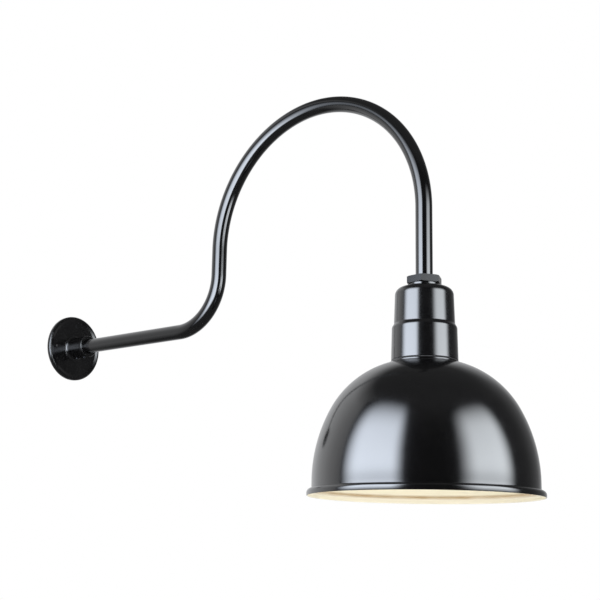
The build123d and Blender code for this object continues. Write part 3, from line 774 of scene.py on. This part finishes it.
class SCONCE_OT_filament(Step, bpy.types.Operator):
    """Bend the lamp's two posts and wind its coil: the axis plus the coil's radius along the
    cosine and sine of the turns, drawn in at both ends."""

    bl_idname = "sconce.filament"
    bl_label = "Filament"

    def execute(self, context):
        s = context.scene.sconce_sizes
        low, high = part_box("bulb_filament")
        post_r, foot_x, upright, hook, bend = 0.0004, 0.002, 0.003, 0.0035, 0.0012
        bar_z, span = low.z + post_r, (high.x - low.x) / 2 - post_r
        parts = []
        for hand in (-1, 1):
            line = rounded(
                [(foot_x * hand, high.z), (foot_x * hand, high.z - upright),
                 (span * hand, bar_z), (span * hand - hook * hand, bar_z)],
                [bend, bend], 9)
            line = divided(thinned(line), bend)
            route = np.stack([REACH + line[:, 0], 0 * line[:, 0], line[:, 1]], 1)
            # A last station with no radius closes each end.
            route = np.concatenate([route[:1], route, route[-1:]])
            route[0, 2] += 1e-7
            route[-1, 0] -= hand * 1e-7
            radius = np.full(len(route), post_r)
            radius[[0, -1]] = 0.0
            points, faces = carried(route, radius, (0.0, 1.0, 0.0), POST_SIDES)
            parts.append((points, faces, 0))
        turns, run = 30, span - upright
        climb = np.linspace(0, 1, turns * 12 + 1)
        angle = 2 * math.pi * turns * climb
        swing = np.stack([0 * angle, np.cos(angle), np.sin(angle)], 1)
        grow = s.coil_r * np.clip(np.minimum(climb, 1 - climb) * turns, 0.15, 1)[:, None]
        axis = np.stack([REACH + run * (2 * climb - 1), 0 * climb, bar_z + 0 * climb], 1)
        radius = np.full(len(climb), s.coil_wire)
        radius[[0, -1]] = 0.0
        points, faces = carried(axis + grow * swing, radius, swing, WIRE_SIDES)
        parts.append((points, faces, 0))
        add_piece("wire_coil", parts, ["Tungsten wire"], "bulb", "bulb_filament", weld=1e-9)
        return {"FINISHED"}


# ---- studio

CAMERA_PLACE = (1.8430, -1.5160, -0.4203)
CAMERA_PITCH, CAMERA_YAW, CAMERA_ROLL = 12.688, 50.294, 1.009
CAMERA_LENS = 72.063
TOWARD = np.array([0.6377, -0.7703, 0.0])
RIGHTWARD = np.array([0.7703, 0.6377, 0.0])
MIDDLE = np.array([REACH, 0, 0])
FLOOR_Z, FLOOR_MIDDLE_X = -0.93, 0.45
ROOM_R = 4.0
# Bearing round the shade's axis from the camera's side, in degrees, and level.
ROOM_LEVELS = (
    (-180, 0.70), (-150, 1.00), (-125, 1.00), (-107, 0.80), (-97, 0.60), (-85, 0.45), (-60, 0.10),
    (-20, 0.02), (40, 0.02), (85, 0.03), (97, 0.08), (115, 0.11), (140, 0.25), (160, 0.60), (180, 1.00),
)
CARD_FOOT, CARD_LIT = -0.45, -0.15
# Name, colour, level, outer and inner end (right, near), the share over which it fades in from
# each, the share of its level that is left high up, and its top.
CARDS = (
    ("left_card", (0.82, 0.89, 1.0), 9.7, (-1.105, -0.048), (-0.320, 0.751), 0.435, 0.174, 0.84, 0.85),
    ("right_card", (0.90, 0.95, 1.0), 7.5, (0.945, 0.062), (0.309, 0.799), 0.352, 0.332, 0.78, 0.68),
)


def at(right, near, up=0.0):
    """A place given as right, toward the camera and up from the shade's axis."""
    return MIDDLE + RIGHTWARD * right + TOWARD * near + [0, 0, up]


def plain_emitter(name, colour):
    """A light-giving material with its tree, its coordinates and its emission node."""
    material = bpy.data.materials.new(name)
    tree = cleared(material)
    lamp = put(tree, "Emission", {"Color": (*colour, 1.0)})
    put(tree, "OutputMaterial", {"Surface": lamp.outputs[0]})
    return material, tree, put(tree, "TexCoord").outputs["Object"], lamp


def along(tree, vector, direction):
    """How far a vector reaches along a fixed direction."""
    sockets = {0: vector, 1: tuple(direction)}
    return put(tree, "VectorMath", sockets, operation="DOT_PRODUCT").outputs["Value"]


def only_in_reflections(thing):
    """Stage pieces that only gloss and glass see."""
    thing.visible_camera = thing.visible_diffuse = thing.visible_shadow = False
    thing.visible_volume_scatter = thing.visible_transmission = False


class SCONCE_OT_stage(Step, bpy.types.Operator):
    """Set up the camera, the pale floor, the plain soft light and what the gloss reflects."""

    bl_idname = "sconce.stage"
    bl_label = "Studio"

    def execute(self, context):
        scene = context.scene
        studio, colours = scene.sconce_studio, scene.sconce_colours
        scene.view_settings.view_transform = "Standard"
        self.place_camera(scene)
        self.lay_floor(colours)
        self.fill_world(scene, studio)
        self.hang_cards(studio)
        self.close_room(studio)
        self.set_lamps(scene, studio)
        return {"FINISHED"}

    def place_camera(self, scene):
        """Columns of the camera's turn: right and up rolled about the line of sight, and back."""
        pitch, yaw, roll = (math.radians(a) for a in (CAMERA_PITCH, CAMERA_YAW, CAMERA_ROLL))
        ahead = Vector((-math.cos(yaw) * math.cos(pitch), math.sin(yaw) * math.cos(pitch), math.sin(pitch)))
        right = Vector((math.sin(yaw), math.cos(yaw), 0))
        up = right.cross(ahead)
        rolled = right * math.cos(roll) + up * math.sin(roll)
        upward = up * math.cos(roll) - right * math.sin(roll)
        data = bpy.data.cameras.new("Photo camera")
        data.lens, data.sensor_width = CAMERA_LENS, 36.0
        data.clip_start, data.clip_end = 0.05, 50.0
        camera = bpy.data.objects.new("Photo camera", data)
        turn = Matrix((rolled, upward, -ahead)).transposed().to_4x4()
        camera.matrix_world = Matrix.Translation(CAMERA_PLACE) @ turn
        scene.collection.objects.link(camera)
        scene.camera = camera

    def lay_floor(self, colours):
        """A round floor that can't be seen from below and fades into the white room."""
        angle = circle(96)[None]
        radius = np.array([0.0, 0.5, 1.5, 3.0, 6.0])[:, None]
        height = 0 * radius * angle + FLOOR_Z
        points = np.stack([FLOOR_MIDDLE_X + radius * np.cos(angle), radius * np.sin(angle), height], -1)
        material = bpy.data.materials.new("Pale floor")
        tree = cleared(material)
        place = put(tree, "TexCoord").outputs["Object"]
        tone = ranged(tree, noise(tree, place, 3.0, 4.0), 0.3, 0.7)
        colour = mixed(tree, tone, toned(colours.floor, 0.985), four(colours.floor))
        matt = put(tree, "BsdfPrincipled", {"Base Color": colour, "Roughness": 0.75})
        white = put(tree, "Emission", {"Color": (1, 1, 1, 1), "Strength": 1.0})
        clear = put(tree, "BsdfTransparent")
        across = off_axis(tree, split(tree, place))
        seen = put(tree, "LightPath").outputs
        fade = maths(tree, "MULTIPLY", ranged(tree, across, 0.9, 2.6), seen["Is Camera Ray"])
        lit = put(tree, "MixShader", {0: fade, 1: matt.outputs[0], 2: white.outputs[0]})
        below = put(tree, "NewGeometry").outputs["Backfacing"]
        both = put(tree, "MixShader", {0: below, 1: lit.outputs[0], 2: clear.outputs[0]})
        put(tree, "OutputMaterial", {"Surface": both.outputs[0]})
        faces = grid_faces(*height.shape, False, True)
        floor = raise_mesh("studio_floor", [(points, faces, 0)], [material])
        if floor.data.polygons[0].normal.z < 0:
            floor.data.flip_normals()
        floor.visible_glossy = False

    def fill_world(self, scene, studio):
        """White where the camera, gloss or glass looks, and the plain level for everything else."""
        scene.world = bpy.data.worlds.new("White room")
        tree = cleared(scene.world)
        seen = put(tree, "LightPath").outputs
        direct = maths(tree, "MAXIMUM", seen["Is Glossy Ray"], seen["Is Transmission Ray"])
        direct = maths(tree, "MAXIMUM", seen["Is Camera Ray"], direct)
        level = ranged(tree, direct, 0.0, 1.0, studio.ambient, 1.0)
        room = put(tree, "Background", {"Color": (1, 1, 1, 1), "Strength": level})
        put(tree, "OutputWorld", {"Surface": room.outputs[0]})

    def hang_cards(self, studio):
        """Two tall soft cards. Each fades in from its outer and inner edges and from its foot, and
        is dimmer and then gone towards its top."""
        for name, colour, level, outer, inner, outer_fade, inner_fade, dim, top in CARDS:
            level *= getattr(studio, name)
            material, tree, place, lamp = plain_emitter(name, colour)
            start, end = at(*outer), at(*inner)
            unit = (end - start) / np.sum((end - start) ** 2)
            share = maths(tree, "SUBTRACT", along(tree, place, unit), float(start @ unit))
            height = split(tree, place)[2]
            strength = ranged(tree, height, -0.1, 0.3, level, level * dim)
            for fade in (
                ranged(tree, share, 0.0, outer_fade, kind="SMOOTHSTEP"),
                ranged(tree, share, 1.0, 1.0 - inner_fade, kind="SMOOTHSTEP"),
                ranged(tree, height, CARD_FOOT, CARD_LIT, kind="SMOOTHSTEP"),
                ranged(tree, height, top, 0.20, kind="SMOOTHSTEP"),
            ):
                strength = maths(tree, "MULTIPLY", strength, fade)
            tree.links.new(strength, lamp.inputs["Strength"])
            corners = [at(*outer, CARD_FOOT), at(*inner, CARD_FOOT), at(*inner, top), at(*outer, top)]
            only_in_reflections(raise_mesh(name, [(corners, np.array([[0, 1, 2, 3]]), 0)], [material]))

    def close_room(self, studio):
        """A dim round room that only gloss sees: a ball about the shade's axis. Its level depends
        on the bearing round that axis, and passes to one plain level overhead and underfoot."""
        material, tree, place, lamp = plain_emitter("dark_room", (0.97, 0.98, 1.0))
        sockets = {0: place, 1: tuple(MIDDLE)}
        spot = put(tree, "VectorMath", sockets, operation="SUBTRACT").outputs[0]
        bearing = maths(tree, "ARCTAN2", along(tree, spot, RIGHTWARD), along(tree, spot, TOWARD))
        ramp = put(tree, "ValToRGB", {0: ranged(tree, bearing, -math.pi, math.pi)})
        stops = ramp.color_ramp.elements
        for degrees, _ in ROOM_LEVELS[1:-1]:
            stops.new(0.5 + degrees / 360)
        for stop, (_, level) in zip(stops, ROOM_LEVELS):
            stop.color = (level, level, level, 1.0)
        height = split(tree, place)[2]
        away = maths(tree, "ADD", ranged(tree, height, 2.4, 3.2), ranged(tree, height, -0.8, -2.4))
        level = put(tree, "Mix", {0: away, 2: ramp.outputs[0], 3: 0.10}).outputs[0]
        tree.links.new(maths(tree, "MULTIPLY", level, studio.room), lamp.inputs["Strength"])
        turn = circle(96)[None]
        rise = np.linspace(-0.5 * math.pi, 0.5 * math.pi, 49)[:, None]
        points = ROOM_R * np.stack([np.cos(rise) * np.cos(turn), np.cos(rise) * np.sin(turn),
                                    np.sin(rise) + 0 * turn], -1) + MIDDLE
        faces = grid_faces(*points.shape[:2], False, True)
        only_in_reflections(raise_mesh("dark_room", [(points, faces, 0)], [material]))

    def set_lamps(self, scene, studio):
        """Soft lamps that gloss doesn't show: a key at the left, a fill at the right, one above
        and one below that stands for the light which the floor throws up."""
        middle = Vector((REACH - 0.2, 0.0, -0.05))
        for name, power, right, near, up, size in (
            ("Key lamp", studio.key, -0.9, 0.9, 0.35, 0.9),
            ("Fill lamp", studio.fill, 1.0, 0.7, 0.25, 0.9),
            ("Top lamp", 0.5 * studio.fill, 0.0, 0.1, 1.3, 1.2),
            ("Floor lamp", 1.1 * studio.fill, 0.0, 0.25, -0.85, 1.2),
        ):
            data = bpy.data.lights.new(name, "AREA")
            data.shape, data.size, data.energy = "SQUARE", size, power
            lamp = bpy.data.objects.new(name, data)
            lamp.location = Vector(at(right, near, up))
            lamp.rotation_euler = (middle - lamp.location).to_track_quat("-Z", "Y").to_euler()
            lamp.visible_camera = lamp.visible_glossy = lamp.visible_transmission = False
            scene.collection.objects.link(lamp)


# ---- panel and registration

STEPS = ("stage", "finishes", "arm", "shade", "threads", "filament")


class SCONCE_PT_panel(bpy.types.Panel):
    """Sizes, colours and the making of each group of pieces."""

    bl_idname = "SCONCE_PT_panel"
    bl_label = "Gooseneck Sconce"
    bl_space_type = "VIEW_3D"
    bl_region_type = "UI"
    bl_category = "Sconce"

    def draw(self, context):
        for step in STEPS:
            self.layout.operator(f"sconce.{step}")
        for group in (context.scene.sconce_sizes, context.scene.sconce_colours, context.scene.sconce_studio):
            box = self.layout.box()
            for name in group.__annotations__:
                box.prop(group, name)


CLASSES = (
    SconceSizes, SconceColours, SconceStudio, SCONCE_OT_stage, SCONCE_OT_finishes, SCONCE_OT_arm,
    SCONCE_OT_shade, SCONCE_OT_threads, SCONCE_OT_filament, SCONCE_PT_panel,
)


def register():
    for kind in CLASSES:
        bpy.utils.register_class(kind)
    bpy.types.Scene.sconce_sizes = PointerProperty(type=SconceSizes)
    bpy.types.Scene.sconce_colours = PointerProperty(type=SconceColours)
    bpy.types.Scene.sconce_studio = PointerProperty(type=SconceStudio)


def unregister():
    del bpy.types.Scene.sconce_studio, bpy.types.Scene.sconce_colours, bpy.types.Scene.sconce_sizes
    for kind in reversed(CLASSES):
        bpy.utils.unregister_class(kind)


def main():
    register()
    for step in STEPS:
        if getattr(bpy.ops.sconce, step)() != {"FINISHED"}:
            raise RuntimeError(f"the step {step} didn't finish")


if __name__ == "__main__":
    main()
